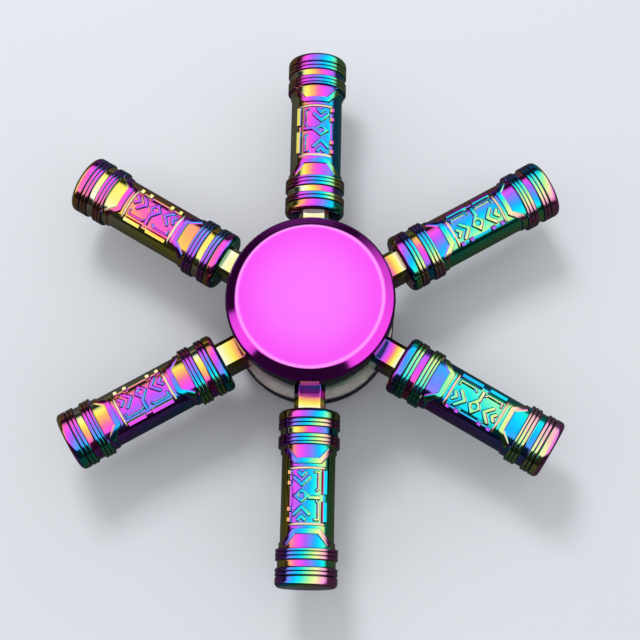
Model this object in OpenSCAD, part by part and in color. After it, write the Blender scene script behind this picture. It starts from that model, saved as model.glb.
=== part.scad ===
// Six-arm metal fidget spinner.
// Origin at the centre of the bearing, spin axis along Z, first arm along +Y. Millimetres.

/* [Arms] */
// Diameter of the circle that the barrel tips run on
span_d = 74; // [70:0.5:80]
// Diameter of a barrel over its ridges
barrel_d = 8.2; // [7.6:0.1:8.6]
// Length of a barrel along its arm
barrel_len = 23.2; // [22.8:0.1:24]

/* [Spokes] */
// Width of a spoke across its arm
spoke_w = 4.1; // [3.6:0.1:4.6]
// Thickness of a spoke along the spin axis
spoke_t = 5.2; // [4.6:0.1:5.6]
// Chamfer along the four long edges of a spoke
spoke_chamfer = 0.65; // [0.3:0.05:0.8]

/* [Hub] */
// Outer diameter of the hub ring
hub_d = 20.6; // [19.6:0.2:21.2]
// Thickness of the hub ring along the spin axis
hub_t = 6.4; // [6:0.1:7]

/* [Bearing] */
// Bore of the inner ring (1/4 inch)
bore_d = 6.35; // [6.35]
// Outside diameter of the outer ring (1/2 inch)
bearing_d = 12.7; // [12.7]
// Width of the bearing (3/16 inch)
bearing_w = 4.7625; // [4.7625]
// Diameter of a ball (1/16 inch)
ball_d = 1.5875; // [1.5875]

/* [Finger caps] */
// Diameter of a cap
cap_d = 22.4; // [22:0.2:23]
// Diameter of the flat that the finger rests on
cap_flat_d = 19; // [18:0.2:20]
// Distance between the two finger flats
stack_h = 18; // [17.6:0.1:18.4]

/* [Hidden] */
ARMS = 6;
BALLS = 10;

film = "mediumorchid";
film_gold = "goldenrod";
bare_steel = "silver";
cage_steel = "darkgray";
far = 30;
$fn = 96;

// Barrel. Distances along it are from its middle, and radii are from its own axis.
tip_r = span_d / 2;
barrel_mid = tip_r - barrel_len / 2;
root_r = tip_r - barrel_len;
ridge_r = barrel_d / 2;
ridge_root_r = ridge_r - 0.2;
recess_r = ridge_r - 0.26;
collar_r = ridge_r - 0.38;
body_r = ridge_r - 0.55;
floor_r = body_r - 0.1;
strip_r = collar_r + 0.16;
relief_r = body_r + 0.16;
line_r = body_r + 0.1;
end_round = 0.45;
collar_at = 5.7;
collar_rise = 0.15;
ridges_at = 6.6;
ridge_pitch = 0.52;
groove_w = 0.08;
recess_at = 8.25;
recess_w = 0.8;
pair_at = recess_at + recess_w + 0.05;
band_at = 10.25;

// Panel on the barrel's two faces. x runs along the arm and y towards its anticlockwise side.
panel_half = 3.5;
panel_side = 2.35;
line_w = 0.3;
field_at = 4.95;
field_slant = 1.25;
field_half = 1.5;
field_side = 2.75;
strip_w = 0.75;
bar_w = 0.5;
bar_gap_at = 0.25;
bar_gap = 0.9;
bar_end = 0.1;
dash_w = 0.4;
dash_len = 0.6;
dash_places = [1.7, 3.1];

// Ornament on the panel.
gem_at = [0, -0.75];
gem_half = [0.95, 1.2];
gem_hole_r = 0.38;
fin_w = 0.5;
step_w = 0.3;

// Socket in a barrel's inner end, and the tenon on the spoke that fills it.
tenon_len = 4;
tenon_w = 2.8;
tenon_t = 3.6;
socket_gap = 0.02;
socket_end_gap = 0.2;

// Bearing.
pitch_r = (bore_d + bearing_d) / 4;
ball_r = ball_d / 2;
raceway_r = ball_r + 0.015;
inner_land_r = 4.15;
outer_land_r = 5.4;
edge = 0.2;
shield_seat_r = 5.85;
shield_t = 0.2;
shield_in = 0.5;
shield_hole_r = 4.3;
wire_r = 0.14;
wire_gap = 24;
cage_in_r = 4.42;
cage_out_r = 5.12;
cage_half = 0.98;
pocket_r = ball_r + 0.04;

// Hub ring.
hub_r = hub_d / 2;
lip_r = 5.95;
lead_in = 0.5;
hub_edge = 0.5;

// Caps.
cap_r = cap_d / 2;
flat_r = cap_flat_d / 2;
cap_top = stack_h / 2;
wall_top = cap_top - 1.4;
cap_under = 5;
rim_edge = 0.15;
boss_r = 4.05;
stem_r = bore_d / 2 - 0.015;
stem_end = 0.3;
thread_r = 2;
thread_end = 4.6;
socket_bottom = 5.6;

// Points of a quarter circle of radius r about [cr, cx], from its outer side round to its end.
function corner(cr, cx, r) = [for (a = [90:-15:0]) [cr + r * sin(a), cx + r * cos(a)]];

// Outline of n cast ridges side by side.
function ridges(from, n) = [
    for (i = [0:n - 1]) let (a = from + i * ridge_pitch, b = a + ridge_pitch) each [
        [ridge_root_r, a + groove_w / 2], [ridge_r, a + groove_w],
        [ridge_r, b - groove_w], [ridge_root_r, b - groove_w / 2]
    ]
];

// Half of the barrel's outline, from its middle to its end, as [radius, distance] points.
half_outline = concat(
    [[0, 0], [body_r, 0], [body_r, collar_at], [collar_r, collar_at + collar_rise], [collar_r, ridges_at]],
    ridges(ridges_at, 3),
    [[recess_r, recess_at], [recess_r, recess_at + recess_w]],
    ridges(pair_at, 2),
    [[ridge_root_r, band_at], [ridge_r, band_at + groove_w]],
    corner(ridge_r - end_round, barrel_len / 2 - end_round, end_round),
    [[0, barrel_len / 2]]
);

// Turns a [radius, distance] outline about the barrel's axis, which lies along X.
module turned() {
    rotate([0, 90, 0]) rotate_extrude() polygon(half_outline);
}

// A flat shape raised on both faces of the barrel, up to the given radius. It is drawn as cast: straight up.
module raised(r) {
    intersection() {
        for (side = [0, 180]) rotate([side, 0, 0]) linear_extrude(far) children();
        rotate([0, 90, 0]) cylinder(h = barrel_len - 4, r = r, center = true);
    }
}

// A flat shape sunk into both faces of the barrel, down to the given radius.
module sunk(r) {
    difference() {
        for (side = [0, 180]) rotate([side, 0, 0]) linear_extrude(far) children();
        rotate([0, 90, 0]) cylinder(h = barrel_len, r = r, center = true);
    }
}

// Unit vector along v, and the direction to its left.
function unit(v) = v / norm(v);
function left(v) = [-v.y, v.x];

// From point i of a line of points to the left edge of a ribbon w wide, with mitred corners.
function to_edge(points, i, w) = let (
    last = len(points) - 1,
    arriving = unit(points[max(i, 1)] - points[max(i, 1) - 1]),
    leaving = unit(points[min(i + 1, last)] - points[min(i + 1, last) - 1]),
    across = unit(left(arriving) + left(leaving))
) across * w / 2 / (across * left(arriving));

// A flat ribbon along a line of points.
module ribbon(points, w) {
    last = len(points) - 1;
    polygon(concat(
        [for (i = [0:last]) points[i] + to_edge(points, i, w)],
        [for (i = [last:-1:0]) points[i] - to_edge(points, i, w)]
    ));
}

// The field beside the ridges, with slanted ends, and the raised strip along its edge.
module end_field() {
    polygon([
        [field_at, -field_half], [field_at, field_half],
        [field_at + field_slant, field_side], [ridges_at + groove_w, field_side],
        [ridges_at + groove_w, -field_side], [field_at + field_slant, -field_side]
    ]);
}

module end_strip() {
    at = field_at - strip_w / 2;
    half = field_half + 0.2;
    side = field_side + 0.3;
    run = field_slant * (side - half) / (field_side - field_half);
    ribbon([[at + run, -side], [at, -half], [at, half], [at + run, side]], strip_w);
}

// Fine line that closes each end of the panel.
module end_line() {
    at = panel_half + line_w / 2;
    ribbon([[at, -panel_side], [at, panel_side]], line_w);
}

// Long bars on the anticlockwise side, short dashes on the clockwise side.
module side_marks() {
    side = panel_side;
    ribbon([[bar_gap_at + bar_gap / 2, side], [panel_half - bar_end, side]], bar_w);
    ribbon([[-panel_half + bar_end, side], [bar_gap_at - bar_gap / 2, side]], bar_w);
    for (m = [-1, 1], at = dash_places) {
        ribbon([[m * at - dash_len / 2, -side], [m * at + dash_len / 2, -side]], dash_w);
    }
}

// Plain ornament: a pierced rhombus between two pairs of arrow-like fins, a stem and stepped lines.
module ornament() {
    translate(gem_at) difference() {
        polygon([[-gem_half.x, 0], [0, -gem_half.y], [gem_half.x, 0], [0, gem_half.y]]);
        circle(r = gem_hole_r);
    }
    for (m = [-1, 1]) {
        translate(gem_at) ribbon([[m * 2.55, -1.2], [m * 1.45, 0], [m * 2.55, 1.2]], fin_w);
        translate(gem_at) ribbon([[m * 3.2, -0.6], [m * 2.65, 0], [m * 3.2, 0.6]], fin_w);
        ribbon([[m * 3.1, 0.9], [m * 3.1, 1.55], [m * 0.95, 1.55], [m * 0.6, 1.2]], step_w);
    }
    ribbon([[bar_gap_at, 0], [bar_gap_at, 1.75]], fin_w);
}

module barrel() {
    difference() {
        union() {
            difference() {
                for (m = [0, 1]) mirror([m, 0, 0]) turned();
                sunk(floor_r) square([2 * panel_half, 2 * panel_side - bar_w], center = true);
            }
            for (m = [0, 1]) mirror([m, 0, 0]) {
                raised(collar_r) end_field();
                raised(strip_r) end_strip();
                raised(line_r) end_line();
            }
            raised(strip_r) side_marks();
            raised(relief_r) ornament();
        }
        translate([-barrel_len / 2 - 1, -tenon_w / 2 - socket_gap, -tenon_t / 2 - socket_gap])
            cube([tenon_len + socket_end_gap + 1, tenon_w + 2 * socket_gap, tenon_t + 2 * socket_gap]);
    }
}

// Barrel number i in its place.
module barrel_at(i) {
    color(film) rotate(90 + (i - 1) * 360 / ARMS) translate([barrel_mid, 0, 0]) barrel();
}

// One spoke along X, with its chamfered edges and the tenon that the barrel slides onto.
module spoke() {
    w = spoke_w / 2;
    t = spoke_t / 2;
    c = spoke_chamfer;
    start = bearing_d / 2 + 1;
    rotate([90, 0, 90]) translate([0, 0, start]) linear_extrude(root_r - start)
        polygon([[-w, -t + c], [-w + c, -t], [w - c, -t], [w, -t + c],
            [w, t - c], [w - c, t], [-w + c, t], [-w, t - c]]);
    translate([root_r - 0.5, -tenon_w / 2, -tenon_t / 2]) cube([tenon_len + 0.5, tenon_w, tenon_t]);
}

module hub_spider() {
    color(film_gold) {
        difference() {
            union() {
                rotate_extrude() polygon([
                    [lip_r, -hub_t / 2], [hub_r - hub_edge, -hub_t / 2], [hub_r, -hub_t / 2 + hub_edge],
                    [hub_r, hub_t / 2 - hub_edge], [hub_r - hub_edge, hub_t / 2], [lip_r, hub_t / 2]
                ]);
                for (i = [0:ARMS - 1]) rotate(90 + i * 360 / ARMS) spoke();
            }
            translate([0, 0, -bearing_w / 2]) cylinder(h = far, d = bearing_d);
            translate([0, 0, hub_t / 2 - lead_in])
                cylinder(h = lead_in * 2, r1 = bearing_d / 2, r2 = bearing_d / 2 + lead_in * 2);
        }
    }
}

// A cap's disc as a turned outline, from its underside at the boss to the middle of its finger flat.
cap_disc = [
    [boss_r, cap_under], [cap_r - rim_edge, cap_under], [cap_r, cap_under + rim_edge],
    [cap_r, wall_top - 0.12], [cap_r - 0.1, wall_top + 0.05], [flat_r + 0.35, cap_top - 0.28],
    [flat_r + 0.1, cap_top - 0.06], [flat_r - 0.15, cap_top], [0, cap_top]
];

module cap_upper() {
    color(film) rotate_extrude() polygon(concat(cap_disc, [
        [0, -thread_end], [thread_r - 0.3, -thread_end], [thread_r, -thread_end + 0.3], [thread_r, stem_end],
        [stem_r, stem_end], [stem_r, bearing_w / 2], [boss_r, bearing_w / 2]
    ]));
}

module cap_lower() {
    color(film) mirror([0, 0, 1]) difference() {
        rotate_extrude() polygon(concat(cap_disc, [
            [0, stem_end], [stem_r - 0.2, stem_end], [stem_r, stem_end + 0.2], [stem_r, bearing_w / 2],
            [boss_r, bearing_w / 2]
        ]));
        cylinder(h = socket_bottom, r = thread_r + 0.02);
    }
}

// A bearing ring between two radii, with the edges at the chamfered side broken.
module ring_blank(inner, outer) {
    h = bearing_w / 2;
    rotate_extrude() polygon([
        [inner + edge, -h], [outer - edge, -h], [outer, -h + edge], [outer, h - edge],
        [outer - edge, h], [inner + edge, h], [inner, h - edge], [inner, -h + edge]
    ]);
}

// The groove that the balls run in.
module raceway() {
    rotate_extrude() translate([pitch_r, 0]) circle(r = raceway_r);
}

module bearing_outer_ring() {
    seat = bearing_w / 2 - shield_in;
    color(bare_steel) difference() {
        ring_blank(outer_land_r, bearing_d / 2);
        raceway();
        for (m = [0, 1]) mirror([0, 0, m]) {
            translate([0, 0, seat]) cylinder(h = far, r = shield_seat_r);
            translate([0, 0, seat + shield_t]) rotate_extrude()
                translate([shield_seat_r, wire_r]) circle(r = wire_r);
        }
    }
}

module bearing_inner_ring() {
    color(bare_steel) difference() {
        ring_blank(bore_d / 2, inner_land_r);
        raceway();
    }
}

module ball_cage() {
    color(cage_steel) difference() {
        rotate_extrude() translate([cage_in_r, -cage_half]) square([cage_out_r - cage_in_r, cage_half * 2]);
        for (i = [0:BALLS - 1]) rotate(i * 360 / BALLS) translate([pitch_r, 0, 0]) sphere(r = pocket_r);
    }
}

// Ball number i in its place.
module ball_at(i) {
    color(bare_steel) rotate((i - 1) * 360 / BALLS) translate([pitch_r, 0, 0]) sphere(r = ball_r);
}

module shield() {
    color(bare_steel) translate([0, 0, bearing_w / 2 - shield_in]) difference() {
        cylinder(h = shield_t, r = shield_seat_r - 0.03);
        translate([0, 0, -1]) cylinder(h = shield_t + 2, r = shield_hole_r);
    }
}

// A split ring of round wire, sprung into the outer ring above the shield.
module snap_ring() {
    color(cage_steel) translate([0, 0, bearing_w / 2 - shield_in + shield_t + wire_r])
        rotate(wire_gap / 2) rotate_extrude(angle = 360 - wire_gap)
            translate([shield_seat_r, 0]) circle(r = wire_r - 0.01);
}

hub_spider();
for (i = [1:ARMS]) {
    barrel_at(i);
}
cap_upper();
cap_lower();
bearing_outer_ring();
bearing_inner_ring();
ball_cage();
for (i = [1:BALLS]) {
    ball_at(i);
}
shield();  // shield_upper
mirror([0, 0, 1]) shield();  // shield_lower
snap_ring();  // snap_ring_upper
mirror([0, 0, 1]) snap_ring();  // snap_ring_lower
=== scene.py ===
"""Six-arm metal fidget spinner with a rainbow film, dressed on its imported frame. Sizes are in millimetres
until a mesh is made. The spin axis is Z, and barrel 1 points along +Y."""

import math

import bmesh
import bpy
import numpy as np
from mathutils import Matrix, Quaternion, Vector


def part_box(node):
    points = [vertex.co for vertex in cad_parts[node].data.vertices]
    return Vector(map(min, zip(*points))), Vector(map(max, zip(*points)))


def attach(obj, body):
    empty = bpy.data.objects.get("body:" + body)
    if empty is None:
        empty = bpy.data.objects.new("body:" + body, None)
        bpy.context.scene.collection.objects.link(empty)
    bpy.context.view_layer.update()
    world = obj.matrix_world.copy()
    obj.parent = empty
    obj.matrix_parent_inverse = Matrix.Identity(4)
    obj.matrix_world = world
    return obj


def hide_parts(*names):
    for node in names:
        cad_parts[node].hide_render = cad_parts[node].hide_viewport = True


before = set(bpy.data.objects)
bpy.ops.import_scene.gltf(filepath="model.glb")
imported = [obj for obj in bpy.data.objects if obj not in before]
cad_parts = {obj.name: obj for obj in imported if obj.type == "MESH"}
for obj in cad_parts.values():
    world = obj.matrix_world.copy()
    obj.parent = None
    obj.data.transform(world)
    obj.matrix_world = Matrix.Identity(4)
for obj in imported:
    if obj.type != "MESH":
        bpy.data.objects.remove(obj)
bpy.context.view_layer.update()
scene = bpy.context.scene
MM = 0.001


# ---------------------------------------------------------------------------------------------------
# Studio. The spinner stands on its lower cap on pale paper, under an even white dome, with one large
# soft key from behind on the left that mirrors don't show. The dome is dark near the horizon, which
# is what puts the black edges on mirror-bright metal.
# ---------------------------------------------------------------------------------------------------
PAPER = "#D3D6DB"
PAPER_IN_MIRRORS = "#52565E"  # dark card stands in for the paper wherever metal mirrors it
PAPER_HALF = 1500
BACKDROP = "#C9CCD2"
DOME_STRENGTH = 1.08
FLAGS = ((124, 54, 0.30), (262, 52, 0.66))  # azimuth and half width in degrees, height as a sine
FLAG_SOFTNESS = 0.12
KEY_POWER = 1.1  # watts
KEY_SIZE = 150
KEY_AT = Vector((-110, 290, 420))
CAMERA_AIM = Vector((1.1, -0.95, 0))
CAMERA_DISTANCE = 190.7
CAMERA_ELEVATION = math.radians(75)
CAMERA_AZIMUTH = math.radians(-83.5)
CAMERA_ROLL = math.radians(-5.5)
SENSOR = 36
LENS = 78.75


def linear(hexadecimal):
    """The linear colour, with full alpha, of an sRGB hex value."""
    values = [int(hexadecimal[i:i + 2], 16) / 255 for i in (1, 3, 5)]
    return [v / 12.92 if v <= 0.04045 else ((v + 0.055) / 1.055) ** 2.4 for v in values] + [1.0]


def add(tree, kind, settings=None, values=None, stops=None):
    """Adds a shader node. settings are its properties; values maps each input's name or number to a
    constant, or to the output that feeds it; stops are a colour ramp's (position, hex colour) pairs."""
    node = tree.nodes.new("ShaderNode" + kind)
    for name, value in (settings or {}).items():
        setattr(node, name, value)
    for name, value in (values or {}).items():
        if isinstance(value, bpy.types.NodeSocket):
            tree.links.new(value, node.inputs[name])
        else:
            node.inputs[name].default_value = value
    if stops:
        ramp = node.color_ramp.elements
        ramp.remove(ramp[-1])
        ramp[0].position, ramp[0].color = stops[0][0], linear(stops[0][1])
        for position, colour in stops[1:]:
            ramp.new(position).color = linear(colour)
    return node


def new_material(name):
    """An empty node material and its tree."""
    material = bpy.data.materials.new(name)
    material.use_nodes = True
    material.node_tree.nodes.clear()
    return material, material.node_tree


def sky():
    """White dome, dark near the horizon. A low black flag behind on the left and a tall one in front hide
    more of the dome's foot there. The camera itself sees a plain pale backdrop."""
    world = bpy.data.worlds.new("studio_dome")
    world.use_nodes = True
    tree = world.node_tree
    tree.nodes.clear()
    direction = add(tree, "TexCoord")
    parts = add(tree, "SeparateXYZ", values={0: direction.outputs["Generated"]})
    flags = []
    for azimuth, half_width, height in FLAGS:
        toward = (math.cos(math.radians(azimuth)), math.sin(math.radians(azimuth)), 0)
        edge = math.cos(math.radians(half_width))
        facing = add(tree, "VectorMath", {"operation": "DOT_PRODUCT"}, {
            0: direction.outputs["Generated"], 1: toward,
        })
        flags.append(add(tree, "MapRange", {"interpolation_type": "SMOOTHSTEP"}, {
            "Value": facing.outputs["Value"], "To Max": height,
            "From Min": edge - FLAG_SOFTNESS, "From Max": edge + FLAG_SOFTNESS,
        }))
    hidden = add(tree, "Math", {"operation": "MAXIMUM"}, {0: flags[0].outputs[0], 1: flags[1].outputs[0]})
    above = add(tree, "Math", {"operation": "SUBTRACT"}, {0: parts.outputs["Z"], 1: hidden.outputs[0]})
    dome = add(tree, "ValToRGB", values={"Fac": above.outputs[0]}, stops=[
        (0.0, "#26282C"), (0.06, "#5A5E64"), (0.14, "#D0D3D6"),
        (0.35, "#FFFFFF"), (0.8, "#FAFBFC"), (1.0, "#F2F3F5"),
    ])
    rays = add(tree, "LightPath")
    seen = add(tree, "Mix", {"data_type": "RGBA"}, {
        "Factor": rays.outputs["Is Camera Ray"], 6: dome.outputs["Color"], 7: linear(BACKDROP),
    })
    background = add(tree, "Background", values={"Color": seen.outputs[2], "Strength": DOME_STRENGTH})
    add(tree, "OutputWorld", values={"Surface": background.outputs["Background"]})
    scene.world = world


def paper():
    """A wide sheet of smooth matt paper, which the lower cap stands on."""
    half = PAPER_HALF * MM
    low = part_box("cap_lower")[0].z
    mesh = bpy.data.meshes.new("paper_floor")
    mesh.from_pydata(
        [(-half, -half, low), (half, -half, low), (half, half, low), (-half, half, low)], [], [(0, 1, 2, 3)]
    )
    material, tree = new_material("matt_paper")
    rays = add(tree, "LightPath")
    tone = add(tree, "Mix", {"data_type": "RGBA"}, {
        "Factor": rays.outputs["Is Glossy Ray"], 6: linear(PAPER), 7: linear(PAPER_IN_MIRRORS),
    })
    shader = add(tree, "BsdfPrincipled", values={
        "Base Color": tone.outputs[2], "Roughness": 0.9, "Specular IOR Level": 0.2,
    })
    add(tree, "OutputMaterial", values={"Surface": shader.outputs["BSDF"]})
    mesh.materials.append(material)
    floor = bpy.data.objects.new("paper_floor", mesh)
    scene.collection.objects.link(floor)


def key_light():
    """A large soft box. It lights the paper and casts the soft shadow, and mirrors don't show it."""
    light = bpy.data.lights.new("key", "AREA")
    light.size = KEY_SIZE * MM
    light.energy = KEY_POWER
    lamp = bpy.data.objects.new("key", light)
    lamp.location = KEY_AT * MM
    lamp.rotation_euler = (-KEY_AT).to_track_quat("-Z", "Y").to_euler()
    lamp.visible_glossy = False
    scene.collection.objects.link(lamp)


def camera():
    """Looks down on the spinner from the front, a hand's length above it."""
    lens = bpy.data.cameras.new("camera")
    lens.sensor_width = SENSOR
    lens.lens = LENS
    lens.clip_start = 1 * MM
    viewer = bpy.data.objects.new("camera", lens)
    away = Vector((
        math.cos(CAMERA_ELEVATION) * math.cos(CAMERA_AZIMUTH),
        math.cos(CAMERA_ELEVATION) * math.sin(CAMERA_AZIMUTH),
        math.sin(CAMERA_ELEVATION),
    ))
    viewer.location = (CAMERA_AIM + CAMERA_DISTANCE * away) * MM
    look = (-away).to_track_quat("-Z", "Y") @ Quaternion((0, 0, 1), CAMERA_ROLL)
    viewer.rotation_euler = look.to_euler()
    scene.collection.objects.link(viewer)
    scene.camera = viewer


sky()
paper()
key_light()
camera()
scene.view_settings.view_transform = "Standard"


# ---------------------------------------------------------------------------------------------------
# Barrels. Each is die-cast zinc, polished, nickel plated and then coated in vacuum with a titanium
# film that shows rainbow interference colours. It is keyed onto the squared end of its spoke. Ridges,
# panel and ornament are cast on both faces, drawn straight up and down out of the mould.
# ---------------------------------------------------------------------------------------------------
ARMS = 6
root, tip = (corner.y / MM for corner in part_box("barrel_1"))
ridge_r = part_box("barrel_1")[1].x / MM
half_len = (tip - root) / 2
ridge_root_r = ridge_r - 0.15
recess_r = ridge_r - 0.26
collar_r = ridge_r - 0.38
strip_r = collar_r + 0.16
body_r = ridge_r - 0.55
relief_r = body_r + 0.16
line_r = body_r + 0.1
floor_r = body_r - 0.1
end_round = 0.65
groove_w = 0.055
ridge_pitch = 0.52
ridges = ((6.6, 3), (9.1, 2))  # where each run of ridges starts, from the barrel's middle, and its count
recess_from, recess_to = 8.25, 9.05
collar_from, collar_to = 5.85, 6.6
band_from = 10.25
side = 2.35  # middle of the bars and dashes beside the panel, across the barrel
bar_share, dash_share = 0.72, -0.5  # how far their tops lean back to level, and which way
end_recess = 0.1  # the end face's edge is this far inside the rounding's foot
socket_w, socket_t, socket_len = 2.84, 3.64, 4.2

# Film thickness on each kind of surface, in steps: 0 is a flat beside the ridges, 1 a ridge's crest.
CREST, FLAT, GROUND, FLANK, BAR, DASH, RIB = 1.0, 0.0, 0.55, -0.05, 0.05, -0.45, 1.6
OUTER_RECESS, INNER_RECESS, INNER_BAND = -0.17, -0.56, 0.33


def stroke(u, v, points, width):
    """Distance of each (u, v) outside a rounded stroke of that width along the points."""
    nearest = np.full(np.broadcast(u, v).shape, 1e9)
    for (u0, v0), (u1, v1) in zip(points, points[1:]):
        du, dv = u1 - u0, v1 - v0
        along = np.clip(((u - u0) * du + (v - v0) * dv) / (du * du + dv * dv), 0, 1)
        nearest = np.minimum(nearest, np.hypot(u - u0 - along * du, v - v0 - along * dv))
    return nearest - width / 2


def convex(u, v, corners):
    """Distance of each (u, v) outside a convex outline whose corners run anticlockwise."""
    distance = np.full(np.broadcast(u, v).shape, -1e9)
    for (u0, v0), (u1, v1) in zip(corners, corners[1:] + corners[:1]):
        du, dv = u1 - u0, v1 - v0
        distance = np.maximum(distance, ((u - u0) * dv - (v - v0) * du) / math.hypot(du, dv))
    return distance


def oblong(u, v, u0, v0, u1, v1):
    """Distance of each (u, v) outside the rectangle between two opposite corners."""
    return convex(u, v, [(u0, v0), (u1, v0), (u1, v1), (u0, v1)])


def cast_outline(recess, band):
    """The turned outline as (distance from the middle, radius, film, groove) rows, up to the end's round.
    recess and band are the film on the recess between the ridges and on the band at the end."""
    rows = [
        (0, body_r, FLANK, 0), (collar_from - 0.15, body_r, FLANK, 0),
        (collar_from, collar_r, FLAT, 0), (collar_to, collar_r, FLAT, 0),
    ]
    for start, count in ridges:
        for i in range(count):
            at = start + i * ridge_pitch
            rows += [
                (at + groove_w / 2, ridge_root_r, CREST, 1), (at + groove_w, ridge_r, CREST, 0),
                (at + ridge_pitch - groove_w, ridge_r, CREST, 0),
                (at + ridge_pitch - groove_w / 2, ridge_root_r, CREST, 1),
            ]
        if at < recess_from:
            rows += [(recess_from, recess_r, recess, 0), (recess_to, recess_r, recess, 0)]
    rows += [
        (band_from, ridge_root_r, band, 1), (band_from + groove_w, ridge_r, band, 0),
        (half_len - end_round, ridge_r, band, 0),
    ]
    return np.array(rows)


def turned_profile(u):
    """Radius, film and groove of the turned outline at each distance u, with its corners softened."""
    step, softness, reach = 0.01, 0.02, 15
    fine = np.arange(0, half_len + 0.2, step)
    kernel = np.exp(-0.5 * (np.arange(-reach, reach + 1) * step / softness) ** 2)
    kernel /= kernel.sum()

    def softened(rows, column):
        """One column of an outline at each distance, smoothed over its corners."""
        values = np.pad(np.interp(fine, rows[:, 0], rows[:, column]), reach, mode="edge")
        return np.interp(abs(u), fine, np.convolve(values, kernel, "valid"))

    outer, inner = cast_outline(OUTER_RECESS, CREST), cast_outline(INNER_RECESS, INNER_BAND)
    into_round = np.clip(abs(u) - (half_len - end_round), 0, end_round)
    radius = softened(outer, 1) - end_round + np.sqrt(end_round ** 2 - into_round ** 2)
    return radius, np.where(u > 0, softened(outer, 2), softened(inner, 2)), softened(outer, 3)


def cast_relief(u, phi, radius, film):
    """Lays the raised and sunk work of one face onto the turned outline: phi is 0 at the face's middle."""
    far = abs(u)

    def lay(shape, top, kind):
        """Brings the surface to top, and its film to kind, wherever shape is below zero."""
        nonlocal radius, film
        draft = 0.1  # width of the sloping edge
        share = np.clip(0.5 - shape / draft, 0, 1)
        share = share * share * (3 - 2 * share)
        radius = radius + (top - radius) * share
        film = film + (kind - film) * share

    def across(r):
        """Place of each point across the barrel, if it stood at that radius."""
        return r * np.sin(phi)

    def leaning(share):
        """Radius of a flat top beside the panel, leaning back to level by that share of its seat's slope."""
        seat = math.asin(side / strip_r)
        lean = share * seat
        return strip_r * math.cos(seat - abs(lean)) / np.cos(phi - lean)

    # The panel's floor, and the body left standing at its two ends.
    lay(oblong(u, across(floor_r), -3.5, -2.1, 3.5, 2.1), floor_r, GROUND)
    lay(oblong(far, across(body_r), 3.6, -side, 4.8, side), body_r, GROUND)

    # The flat that reaches in from each collar, its raised edge strip, and the rib at the panel's end.
    lay(convex(far, across(collar_r), [
        (4.95, -1.5), (6.2, -2.75), (6.76, -2.75), (6.76, 2.75), (6.2, 2.75), (4.95, 1.5),
    ]), collar_r, FLAT)
    v = across(strip_r)
    lay(stroke(far, v, [(6.0, -2.9), (4.575, -1.7), (4.575, 1.7), (6.0, 2.9)], 0.72), strip_r, CREST)
    lay(oblong(far, across(line_r), 3.5, -side, 3.8, side), line_r, RIB)

    # Two bars on one side of the panel and four dashes on the other.
    lay(np.minimum(
        oblong(u, v, 0.7, side - 0.25, 3.4, side + 0.25), oblong(u, v, -3.4, side - 0.25, -0.2, side + 0.25)
    ), leaning(bar_share), BAR)
    for at in (1.7, 3.1):
        lay(oblong(far, v, at - 0.3, -side - 0.2, at + 0.3, -side + 0.2), leaning(dash_share), DASH)

    # Ornament: a pierced rhombus on a post, a chevron and an arrowhead to each side, and stepped lines.
    v = across(relief_r)
    gem = convex(u, v, [(-0.95, -0.75), (0, -1.95), (0.95, -0.75), (0, 0.45)])
    lay(np.maximum(gem, 0.38 - np.hypot(u, v + 0.75)), relief_r, CREST)
    lay(stroke(far, v, [(2.4, -1.79), (1.45, -0.75), (2.4, 0.29)], 0.5), relief_r, CREST)
    lay(stroke(far, v, [(3.06, -1.2), (2.65, -0.75), (3.06, -0.3)], 0.5), relief_r, CREST)
    lay(stroke(far, v, [(3.1, 1.0), (3.1, 1.55), (0.95, 1.55), (0.68, 1.28)], 0.3), relief_r, CREST)
    lay(oblong(u, v, 0.0, 0.1, 0.5, 1.75), relief_r, CREST)
    return radius, film


def spaced(*stretches):
    """Places from end to end of the stretches, each (end, spacing), starting at 0."""
    places = [0.0]
    for end, spacing in stretches:
        count = max(1, round((end - places[-1]) / spacing))
        start = places[-1]
        places += [start + (end - start) * (i + 1) / count for i in range(count)]
    return np.array(places)


def mirrored(half):
    """The places and their mirror images, from lowest to highest."""
    return np.concatenate([-half[:0:-1], half])


def socket_mouth(phi):
    """The socket's square edge as a point at each angle round the barrel, with true corners."""
    sin, cos = np.sin(phi), np.cos(phi)
    reach = np.minimum(socket_w / 2 / np.maximum(abs(sin), 1e-9), socket_t / 2 / np.maximum(abs(cos), 1e-9))
    mouth = np.stack([reach * sin, reach * cos], 1)
    for corner in [(y, z) for y in (-socket_w / 2, socket_w / 2) for z in (-socket_t / 2, socket_t / 2)]:
        mouth[np.argmin(np.hypot(*(mouth - corner).T))] = corner
    return mouth


def end_edge(ring):
    """The edge of the flat end face inside the last ring of the rounding."""
    outline = ring[:, 1:]
    return outline * (1 - end_recess / np.hypot(outline[:, 0], outline[:, 1]))[:, None]


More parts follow.
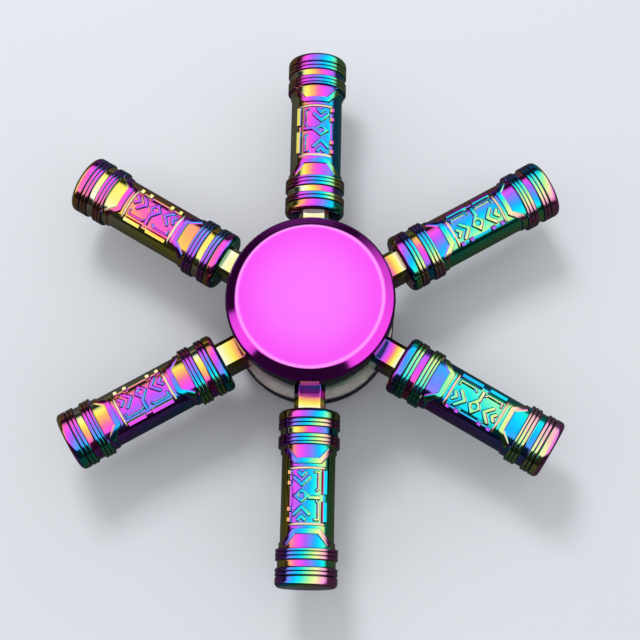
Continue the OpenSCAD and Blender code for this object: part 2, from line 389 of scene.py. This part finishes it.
def cast_barrel():
    """One barrel about X, as rings of points from the socket's bottom to the outer end, in a bmesh with
    its film and groove stored at each point. Rings and points stand closest where the detail is."""
    straight = spaced((3.4, 0.08), (3.9, 0.06), (6.5, 0.07), (8.3, 0.04), (9.0, 0.12), (10.5, 0.04),
                      (10.9, 0.15), (half_len - end_round, 0.05))
    turn_in = half_len - end_round + end_round * np.sin(np.radians(np.arange(10, 91, 10)))
    u = mirrored(np.concatenate([straight, turn_in]))[:, None]
    face = mirrored(spaced((46, 1.0), (90, 4.4)))[:-1]
    phi = np.radians(np.concatenate([face, face + 180]))
    radius, film, groove = (np.broadcast_to(x, (u.size, phi.size)) for x in turned_profile(u))
    from_middle = np.arctan2(np.sin(phi) * np.sign(np.cos(phi) + 1e-9), abs(np.cos(phi)))
    radius, film = cast_relief(u, from_middle, radius, film)

    rings = [np.stack([x + 0 * phi, r * np.sin(phi), r * np.cos(phi)], 1) for x, r in zip(u, radius)]
    mouth = socket_mouth(phi)
    inner_end = [(socket_len - half_len, mouth), (-half_len, mouth), (-half_len, end_edge(rings[0]))]
    outer_end = [(half_len, end_edge(rings[-1]))]
    before, after = (
        [np.column_stack([np.full(len(outline), x), outline]) for x, outline in end]
        for end in (inner_end, outer_end)
    )
    rings = before + rings + after
    film = np.concatenate([film[:1]] * len(before) + [film] + [film[-1:]] * len(after))
    groove = np.concatenate([groove[:1]] * len(before) + [groove] + [groove[-1:]] * len(after))

    shape = bmesh.new()
    film_layer = shape.verts.layers.float.new("film")
    groove_layer = shape.verts.layers.float.new("groove")
    grid = []
    for ring, films, grooves in zip(rings, film, groove):
        row = [shape.verts.new(point) for point in ring]
        for vertex, film_here, groove_here in zip(row, films, grooves):
            vertex[film_layer] = film_here
            vertex[groove_layer] = groove_here
        grid.append(row)
    for near_row, far_row in zip(grid, grid[1:]):
        for i, vertex in enumerate(near_row):
            shape.faces.new((near_row[i - 1], vertex, far_row[i], far_row[i - 1]))
    shape.faces.new(grid[0])
    shape.faces.new(reversed(grid[-1]))
    bmesh.ops.recalc_face_normals(shape, faces=shape.faces)
    return shape


# Interference colours in the order in which the film passes through them as it gets thicker.
FILM_COLOURS = (
    "#FFFBE0 #FFFAB0 #FFF780 #FFEB62 #FFC866 #FFA878 #FF73B0 #FF5AD8 #F352F4 #D05BFF #A868FF #8488FF "
    "#4C9CFF #18B8FF #10DCFF #20F0E0 #70F8C8 #A8FCA8 #D8FF98 #F8F0B0 #F8C8B8 #F8A8D0 #F080E0"
).split()
FILM_SPAN = 1.1  # thickness from the first of those colours to the last, where 1 is a full order
DRIFT = 0.16  # most that the thickness wanders
DRIFT_SIZE = 5.5
HAZE_SIZE = 1.8
WAVE_SIZE = 1.1
WAVE_DEPTH = 0.015


def film_colour_with_flank_shade(tree, thickness):
    """Colour of the film for a thickness: a slow random drift, the interference ramp, and painted shade that
    darkens the flanks and other steep faces the further they turn from level."""
    place = add(tree, "TexCoord")
    drift = add(tree, "TexNoise", values={
        "Vector": place.outputs["Object"], "Scale": 1 / (DRIFT_SIZE * MM), "Detail": 2.0, "Roughness": 0.5,
    })
    drifted = add(tree, "Math", {"operation": "MULTIPLY_ADD"}, {
        0: drift.outputs["Fac"], 1: DRIFT, 2: thickness,
    })
    order = add(tree, "Math", {"operation": "MULTIPLY_ADD"}, {
        0: drifted.outputs[0], 1: 1 / FILM_SPAN, 2: -DRIFT / 2 / FILM_SPAN,
    })
    last = len(FILM_COLOURS) - 1
    colours = add(tree, "ValToRGB", values={"Fac": order.outputs[0]}, stops=[
        (i / last, colour) for i, colour in enumerate(FILM_COLOURS)
    ])
    facing = add(tree, "SeparateXYZ", values={0: place.outputs["Normal"]})
    level = add(tree, "Math", {"operation": "ABSOLUTE"}, {0: facing.outputs["Z"]})
    # Painted shade: flanks, end faces and spoke sides are darkened and tinted olive, more so the further they
    # turn from level.
    painted_flank_shade = add(tree, "ValToRGB", values={"Fac": level.outputs[0]}, stops=[
        (0.0, "#A89C70"), (0.68, "#C4BEA4"), (0.8, "#FFFFFF"),
    ])
    return add(tree, "Mix", {"data_type": "RGBA", "blend_type": "MULTIPLY"}, {
        "Factor": 1.0, 6: colours.outputs["Color"], 7: painted_flank_shade.outputs["Color"],
    })


def film_shader(tree, colour):
    """Polished plated metal under the film: a mirror, slightly hazed in soft patches by the buffing wheel,
    with the faint waves that polishing leaves on a casting."""
    place = add(tree, "TexCoord")
    haze = add(tree, "TexNoise", values={
        "Vector": place.outputs["Object"], "Scale": 1 / (HAZE_SIZE * MM), "Detail": 3.0, "Roughness": 0.6,
    })
    rough = add(tree, "MapRange", values={
        "Value": haze.outputs["Fac"], "From Min": 0.3, "From Max": 0.7, "To Min": 0.07, "To Max": 0.15,
    })
    waves = add(tree, "TexNoise", values={
        "Vector": place.outputs["Object"], "Scale": 1 / (WAVE_SIZE * MM), "Detail": 2.0, "Roughness": 0.5,
    })
    bump = add(tree, "Bump", values={
        "Height": waves.outputs["Fac"], "Strength": 0.6, "Distance": WAVE_DEPTH * MM,
    })
    shader = add(tree, "BsdfPrincipled", values={
        "Base Color": colour, "Metallic": 1.0, "Roughness": rough.outputs[0], "Normal": bump.outputs[0],
    })
    add(tree, "OutputMaterial", values={"Surface": shader.outputs["BSDF"]})


def barrel_film():
    """Rainbow film on die-cast zinc. It is thicker on faces turned to +X and on the arms on that side.
    Flats are a step thinner than crests, the panels' end ribs are rubbed pale, and the grooves are darkened
    with painted shade."""
    material, tree = new_material("rainbow_film_on_cast_zinc")
    place = add(tree, "TexCoord")
    film = add(tree, "Attribute", {"attribute_name": "film"})
    groove = add(tree, "Attribute", {"attribute_name": "groove"})
    spread = (8.3, -3.6, 0)  # thickness per metre across the whole spinner
    tilt = (0.395, -0.12, 0)  # thickness per unit of the surface's normal
    step, flat = 0.265, 0.395  # from a flat to a crest, and a flat's own
    here = add(tree, "VectorMath", {"operation": "DOT_PRODUCT"}, {0: place.outputs["Object"], 1: spread})
    turn = add(tree, "VectorMath", {"operation": "DOT_PRODUCT"}, {0: place.outputs["Normal"], 1: tilt})
    both = add(tree, "Math", {"operation": "ADD"}, {0: here.outputs["Value"], 1: turn.outputs["Value"]})
    raised = add(tree, "Math", {"operation": "MULTIPLY_ADD"}, {0: film.outputs["Fac"], 1: step, 2: flat})
    thickness = add(tree, "Math", {"operation": "ADD"}, {0: both.outputs[0], 1: raised.outputs[0]})
    colour = film_colour_with_flank_shade(tree, thickness.outputs[0])
    rubbed = add(tree, "MapRange", values={"Value": film.outputs["Fac"], "From Min": 1.02, "From Max": 1.3})
    pale = add(tree, "Mix", {"data_type": "RGBA"}, {
        "Factor": rubbed.outputs[0], 6: colour.outputs[2], 7: linear("#FADDB4"),
    })
    # Painted shade: the grooves between the ridges are darkened grey.
    dark = add(tree, "Mix", {"data_type": "RGBA", "blend_type": "MULTIPLY"}, {
        "Factor": groove.outputs["Fac"], 6: pale.outputs[2], 7: linear("#606060"),
    })
    film_shader(tree, dark.outputs[2])
    return material


def new_piece(name, mesh, body, slot, node, *materials):
    """Puts a finished mesh in the scene, riding on its body in place of the CAD node it stands for."""
    for material in materials:
        mesh.materials.append(material)
    piece = bpy.data.objects.new(name, mesh)
    scene.collection.objects.link(piece)
    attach(piece, body)
    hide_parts(node)


def place_mesh(name, shape, move, sharp_above=50):
    """A smooth-shaded mesh of the bmesh, moved to its place and turned from millimetres to metres. Edges
    that bend more than sharp_above degrees stay crisp."""
    mesh = bpy.data.meshes.new(name)
    shape.to_mesh(mesh)
    mesh.transform(Matrix.Scale(MM, 4) @ move)
    mesh.shade_smooth()
    mesh.set_sharp_from_angle(angle=math.radians(sharp_above))
    return mesh


def turned_to_arm(number):
    """The turn about Z that takes +X to the arm with that number."""
    return Matrix.Rotation(math.radians(90 + (number - 1) * 360 / ARMS), 4, "Z")


barrel_shape = cast_barrel()
barrel_finish = barrel_film()
for number in range(1, ARMS + 1):
    name = f"cast_barrel_{number}"
    move = turned_to_arm(number) @ Matrix.Translation((root + half_len, 0, 0))
    mesh = place_mesh(name, barrel_shape, move)
    new_piece(name, mesh, "spinner", "oil_slick_zinc", f"barrel_{number}", barrel_finish)
barrel_shape.free()


# ---------------------------------------------------------------------------------------------------
# Hub. One zinc casting: a ring bored for the bearing, and six flat spokes with broken edges, each
# ending in a squared tenon inside its barrel. The same film, which runs gold where the spokes are bare.
# ---------------------------------------------------------------------------------------------------
hub_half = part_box("hub_spider")[1].z / MM
hub_r = 10.3
hub_edge = 0.45
bearing_r = 6.35
bearing_half = 4.7625 / 2
lead_in = 0.5  # bevel at the mouth of the bearing's seat
lip_r = 5.95
spoke_half_w, spoke_half_t = 2.05, 2.6
spoke_bevel, spoke_soft = 0.65, 0.18
spoke_from = bearing_r + 1.2
tenon_half_w, tenon_half_t, tenon_len = 1.4, 1.8, 4.0


def rounded(corners, steps=5):
    """A closed outline with each (across, up, fillet) corner rounded, as (across, up) points."""
    lead = 0.04  # a point this far before and after each fillet keeps the flats beside it flat
    points = []
    for i, (x, y, fillet) in enumerate(corners):
        here = Vector((x, y))
        if fillet == 0:
            points.append((x, y))
            continue
        back = (Vector(corners[i - 1][:2]) - here).normalized()
        on = (Vector(corners[(i + 1) % len(corners)][:2]) - here).normalized()
        half_angle = back.angle(on) / 2
        run = fillet / math.tan(half_angle)
        centre = here + (back + on).normalized() * fillet / math.sin(half_angle)
        first, last = here + back * run - centre, here + on * run - centre
        sweep = first.angle_signed(last)
        points.append(tuple(here + back * (run + lead)))
        for step in range(steps + 1):
            turn = -sweep * step / steps
            c, s = math.cos(turn), math.sin(turn)
            points.append((centre.x + first.x * c - first.y * s, centre.y + first.x * s + first.y * c))
        points.append(tuple(here + on * (run + lead)))
    return points


def turn_on_lathe(outline, segments=192):
    """A bmesh of a closed (radius, height) outline revolved about Z. Points on the axis become one."""
    shape = bmesh.new()
    rings = []
    for r, z in outline:
        if r < 1e-6:
            rings.append([shape.verts.new((0, 0, z))] * segments)
        else:
            rings.append([
                shape.verts.new((r * math.cos(a), r * math.sin(a), z))
                for a in (2 * math.pi * i / segments for i in range(segments))
            ])
    for first, second in zip(rings, rings[1:] + rings[:1]):
        if first[0] is first[1] and second[0] is second[1]:
            continue
        for i in range(segments):
            corners = [first[i - 1], first[i], second[i], second[i - 1]]
            shape.faces.new([c for j, c in enumerate(corners) if c not in corners[:j]])
    bmesh.ops.recalc_face_normals(shape, faces=shape.faces)
    return shape


def hub_ring():
    """The ring about Z, with the bearing's seat open at the top and stopped by a lip below."""
    return turn_on_lathe(rounded([
        (lip_r, -hub_half, 0.1), (hub_r, -hub_half, hub_edge), (hub_r, hub_half, hub_edge),
        (bearing_r + lead_in, hub_half, 0.08), (bearing_r, hub_half - lead_in, 0.05),
        (bearing_r, -bearing_half, 0), (lip_r, -bearing_half, 0),
    ]))


def squared(section, half_w, half_t):
    """Each point of a section moved along its own direction onto a rectangle, with true corners."""
    points = []
    for y, z in section:
        scale = min(half_w / max(abs(y), 1e-9), half_t / max(abs(z), 1e-9))
        points.append((y * scale, z * scale))
    for corner in [(y, z) for y in (-half_w, half_w) for z in (-half_t, half_t)]:
        nearest = min(range(len(points)), key=lambda i: math.dist(points[i], corner))
        points[nearest] = corner
    return points


def spoke_and_tenon():
    """One spoke along X as stacked cross-sections: a flat bar with broken edges, then its squared tenon."""
    w, t, c = spoke_half_w, spoke_half_t, spoke_bevel
    corners = [(w, t - c), (w - c, t), (-w + c, t), (-w, t - c)]
    corners += [(-y, -z) for y, z in corners]
    section = rounded([(y, z, spoke_soft) for y, z in corners], 3)
    tenon = squared(section, tenon_half_w, tenon_half_t)
    shape = bmesh.new()
    rows = [
        [shape.verts.new((x, y, z)) for y, z in outline]
        for x, outline in ((spoke_from, section), (root, section), (root, tenon), (root + tenon_len, tenon))
    ]
    for near_row, far_row in zip(rows, rows[1:]):
        for i in range(len(section)):
            shape.faces.new((near_row[i - 1], near_row[i], far_row[i], far_row[i - 1]))
    shape.faces.new(rows[0])
    shape.faces.new(reversed(rows[-1]))
    bmesh.ops.recalc_face_normals(shape, faces=shape.faces)
    return shape


def spider_film():
    """The film on the hub: near white gold beside the barrels, and a full step thicker at the ring,
    more so on the arms towards +X and -Y."""
    material, tree = new_material("rainbow_film_on_cast_hub")
    mean_rate = 140.0  # thickness per metre inward from the barrels
    lean = (6500, -5200, 0)  # change of that rate per metre across the spinner
    thinnest = 0.02
    place = add(tree, "TexCoord")
    distance = add(tree, "VectorMath", {"operation": "LENGTH"}, {0: place.outputs["Object"]})
    inward = add(tree, "Math", {"operation": "SUBTRACT"}, {0: root * MM, 1: distance.outputs["Value"]})
    leaning = add(tree, "VectorMath", {"operation": "DOT_PRODUCT"}, {0: place.outputs["Object"], 1: lean})
    rate = add(tree, "Math", {"operation": "ADD"}, {0: leaning.outputs["Value"], 1: mean_rate})
    thickness = add(tree, "Math", {"operation": "MULTIPLY_ADD"}, {
        0: inward.outputs[0], 1: rate.outputs[0], 2: thinnest,
    })
    film_shader(tree, film_colour_with_flank_shade(tree, thickness.outputs[0]).outputs[2])
    return material


def joined(target, tools):
    """Unites meshes into the target with exact booleans, and returns the result as a new mesh."""
    base = bpy.data.objects.new("base", target)
    scene.collection.objects.link(base)
    helpers = []
    for tool in tools:
        helper = bpy.data.objects.new("tool", tool)
        scene.collection.objects.link(helper)
        join = base.modifiers.new("join", "BOOLEAN")
        join.operation = "UNION"
        join.solver = "EXACT"
        join.object = helper
        helpers.append(helper)
    result = bpy.data.meshes.new_from_object(base.evaluated_get(bpy.context.evaluated_depsgraph_get()))
    for thing in helpers + [base]:
        bpy.data.objects.remove(thing)
    return result


CRISP = 30  # degrees of bend above which the hub's edges stay crisp
spoke_shape = spoke_and_tenon()
spokes = [place_mesh("spoke", spoke_shape, turned_to_arm(number), CRISP) for number in range(1, ARMS + 1)]
hub_mesh = joined(place_mesh("cast_hub", hub_ring(), Matrix.Identity(4), CRISP), spokes)
hub_mesh.shade_smooth()
hub_mesh.set_sharp_from_angle(angle=math.radians(CRISP))
new_piece("cast_hub_and_spokes", hub_mesh, "spinner", "oil_slick_zinc", "hub_spider", spider_film())


# ---------------------------------------------------------------------------------------------------
# Bearing. A small instrument bearing pressed into the hub: hardened chrome-steel rings and balls, a
# stamped steel cage, and thin bright shields held by round wire snap rings. All keep their CAD shape.
# ---------------------------------------------------------------------------------------------------
BALLS = 10


def ring_scale(spacing):
    """Scale of a wave texture whose rings are this many millimetres apart: at 1 it turns 20 radians a unit.
    Real tool marks are finer, and these are drawn coarse enough to show."""
    return 2 * math.pi / (20 * spacing * MM)


def bright_steel(name, colour, roughness, spacing):
    """Ground or stamped steel, whose tool marks about the axis give a faint ringed sheen."""
    material, tree = new_material(name)
    place = add(tree, "TexCoord")
    rings = add(tree, "TexWave", {"wave_type": "RINGS", "rings_direction": "Z"}, {
        "Vector": place.outputs["Object"], "Scale": ring_scale(spacing), "Distortion": 1.5, "Detail": 3.0,
    })
    rough = add(tree, "MapRange", values={
        "Value": rings.outputs["Fac"], "To Min": roughness * 0.8, "To Max": roughness * 1.3,
    })
    bump = add(tree, "Bump", values={"Height": rings.outputs["Fac"], "Strength": 0.06, "Distance": 0.01 * MM})
    shader = add(tree, "BsdfPrincipled", values={
        "Base Color": linear(colour), "Metallic": 1.0, "Roughness": rough.outputs[0],
        "Normal": bump.outputs[0],
    })
    add(tree, "OutputMaterial", values={"Surface": shader.outputs["BSDF"]})
    return material


def dress(node, material):
    """Gives a CAD node that keeps its own mesh its finish."""
    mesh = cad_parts[node].data
    mesh.materials.clear()
    mesh.materials.append(material)


ring_steel = bright_steel("ground_chrome_steel", "#C9CCD0", 0.2, 0.4)
ball_steel = bright_steel("lapped_ball_steel", "#DADCDF", 0.06, 3.0)
cage_steel = bright_steel("stamped_cage_steel", "#B4B2AC", 0.38, 0.6)
shield_steel = bright_steel("bright_shield_steel", "#CFD1D3", 0.24, 0.5)
spring_steel = bright_steel("spring_wire", "#9DA0A4", 0.28, 0.4)
dress("bearing_outer_ring", ring_steel)
dress("bearing_inner_ring", ring_steel)
dress("ball_cage", cage_steel)
for number in range(1, BALLS + 1):
    dress(f"ball_{number}", ball_steel)
for face in ("upper", "lower"):
    dress(f"shield_{face}", shield_steel)
    dress(f"snap_ring_{face}", spring_steel)


# ---------------------------------------------------------------------------------------------------
# Finger caps. Turned aluminium with a polished finger face, coated in the same film stopped at
# magenta. The inner face and the stem were masked, so they show bare turned metal. The upper cap's
# stud screws into the lower cap and clamps the bearing's inner ring between the two stems.
# ---------------------------------------------------------------------------------------------------
cap_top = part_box("cap_upper")[1].z / MM
cap_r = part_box("cap_upper")[1].x / MM
stud_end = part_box("cap_upper")[0].z / MM
flat_r = 9.5
wall_top = cap_top - 1.4
cap_under = 5.0
boss_r = 4.05
stem_r = 3.16
stem_end = 0.3
thread_r = 2.0
thread_room = 0.02
socket_bottom = 5.6
film_edge_r = cap_r - 0.03
CAP_HAZE_SIZE = 4
BLOTCH_SIZE = 1.5
TURNING_MARKS = 0.5


def magenta_film():
    """Film stopped at magenta on polished aluminium: a mirror face with a little buffing haze. The colour
    carries a painted highlight, a pale ring on the bevel's crown, and painted shade that darkens down the
    wall, and it deepens towards the rim."""
    material, tree = new_material("magenta_film_on_polished_aluminium")
    place = add(tree, "TexCoord")
    facing = add(tree, "SeparateXYZ", values={0: place.outputs["Normal"]})
    level = add(tree, "Math", {"operation": "ABSOLUTE"}, {0: facing.outputs["Z"]})
    # Painted highlight and painted shade: a pale ring where the bevel's crown turns from level, then darker
    # down to the wall.
    slope = add(tree, "ValToRGB", values={"Fac": level.outputs[0]}, stops=[
        (0.0, "#3A0A3C"), (0.5, "#7A1478"), (0.72, "#E04CD8"), (0.84, "#F66AF0"),
        (0.93, "#FFD2FF"), (0.99, "#FFC8FF"), (1.0, "#FF7CFF"),
    ])
    distance = add(tree, "VectorMath", {"operation": "LENGTH"}, {0: place.outputs["Object"]})
    outward = add(tree, "MapRange", {"interpolation_type": "SMOOTHSTEP"}, {
        "Value": distance.outputs["Value"], "From Min": 9.0 * MM, "From Max": 13.2 * MM,
    })
    deeper = add(tree, "Mix", {"data_type": "RGBA"}, {
        "Factor": outward.outputs[0], 6: linear("#FFFFFF"), 7: linear("#FFBAFC"),
    })
    colour = add(tree, "Mix", {"data_type": "RGBA", "blend_type": "MULTIPLY"}, {
        "Factor": 1.0, 6: slope.outputs["Color"], 7: deeper.outputs[2],
    })
    haze = add(tree, "TexNoise", values={
        "Vector": place.outputs["Object"], "Scale": 1 / (CAP_HAZE_SIZE * MM), "Detail": 4.0, "Roughness": 0.6,
    })
    rough = add(tree, "MapRange", values={
        "Value": haze.outputs["Fac"], "From Min": 0.3, "From Max": 0.7, "To Min": 0.05, "To Max": 0.1,
    })
    shader = add(tree, "BsdfPrincipled", values={
        "Base Color": colour.outputs[2], "Metallic": 1.0, "Roughness": rough.outputs[0],
    })
    add(tree, "OutputMaterial", values={"Surface": shader.outputs["BSDF"]})
    return material


def bare_turned():
    """Bare aluminium as it left the lathe: warm grey with turning marks, stained in soft blotches. A dull
    skin of oxide scatters most of the light, so it is far less of a mirror than clean metal."""
    material, tree = new_material("bare_turned_aluminium")
    place = add(tree, "TexCoord")
    rings = add(tree, "TexWave", {"wave_type": "RINGS", "rings_direction": "Z"}, {
        "Vector": place.outputs["Object"], "Scale": ring_scale(TURNING_MARKS), "Distortion": 2.0,
        "Detail": 4.0, "Detail Scale": 3.0,
    })
    blotch = add(tree, "TexNoise", values={
        "Vector": place.outputs["Object"], "Scale": 1 / (BLOTCH_SIZE * MM), "Detail": 5.0, "Roughness": 0.65,
    })
    tone = add(tree, "ValToRGB", values={"Fac": blotch.outputs["Fac"]}, stops=[
        (0.3, "#DED2CA"), (0.7, "#FFF6EE"),
    ])
    rough = add(tree, "MapRange", values={"Value": rings.outputs["Fac"], "To Min": 0.5, "To Max": 0.7})
    bump = add(tree, "Bump", values={"Height": rings.outputs["Fac"], "Strength": 0.15, "Distance": 0.02 * MM})
    shader = add(tree, "BsdfPrincipled", values={
        "Base Color": tone.outputs["Color"], "Metallic": 0.35, "Roughness": rough.outputs[0],
        "Normal": bump.outputs[0],
    })
    add(tree, "OutputMaterial", values={"Surface": shader.outputs["BSDF"]})
    return material


def cap_shape(lower):
    """A cap as turned, about Z with its finger face up. The lower one has the threaded socket, the
    upper one the stud."""
    disc = [
        (boss_r, cap_under, 0.15), (film_edge_r, cap_under, 0), (cap_r, cap_under, 0.12),
        (cap_r, wall_top, 0.2), (cap_r - 0.25, wall_top + 0.42, 0.4),
        (flat_r + 0.15, cap_top - 0.02, 1.1), (flat_r - 0.5, cap_top, 0), (0, cap_top, 0),
    ]
    if lower:
        hole_r = thread_r + thread_room
        core = [
            (0, socket_bottom, 0), (hole_r, socket_bottom, 0), (hole_r, stem_end, 0), (stem_r, stem_end, 0.2),
        ]
    else:
        core = [
            (0, stud_end, 0), (thread_r, stud_end, 0.25), (thread_r, stem_end, 0), (stem_r, stem_end, 0.1),
        ]
    shoulder = [(stem_r, bearing_half, 0), (boss_r, bearing_half, 0.1)]
    return turn_on_lathe(rounded(disc + core + shoulder))


FILMED, BARE = 0, 1  # places of the two finishes in a cap's material slots
magenta, bare = magenta_film(), bare_turned()
for name, lower in (("upper", False), ("lower", True)):
    shape = cap_shape(lower)
    for face in shape.faces:
        middle = face.calc_center_median()
        masked = middle.z < cap_under + 0.01 and math.hypot(middle.x, middle.y) < film_edge_r + 0.01
        face.material_index = BARE if masked else FILMED
    move = Matrix.Rotation(math.pi, 4, "X") if lower else Matrix.Identity(4)
    mesh = place_mesh(f"turned_cap_{name}", shape, move, 35)
    new_piece(f"turned_cap_{name}", mesh, "held_caps", "magenta_aluminium", f"cap_{name}", magenta, bare)
    shape.free()
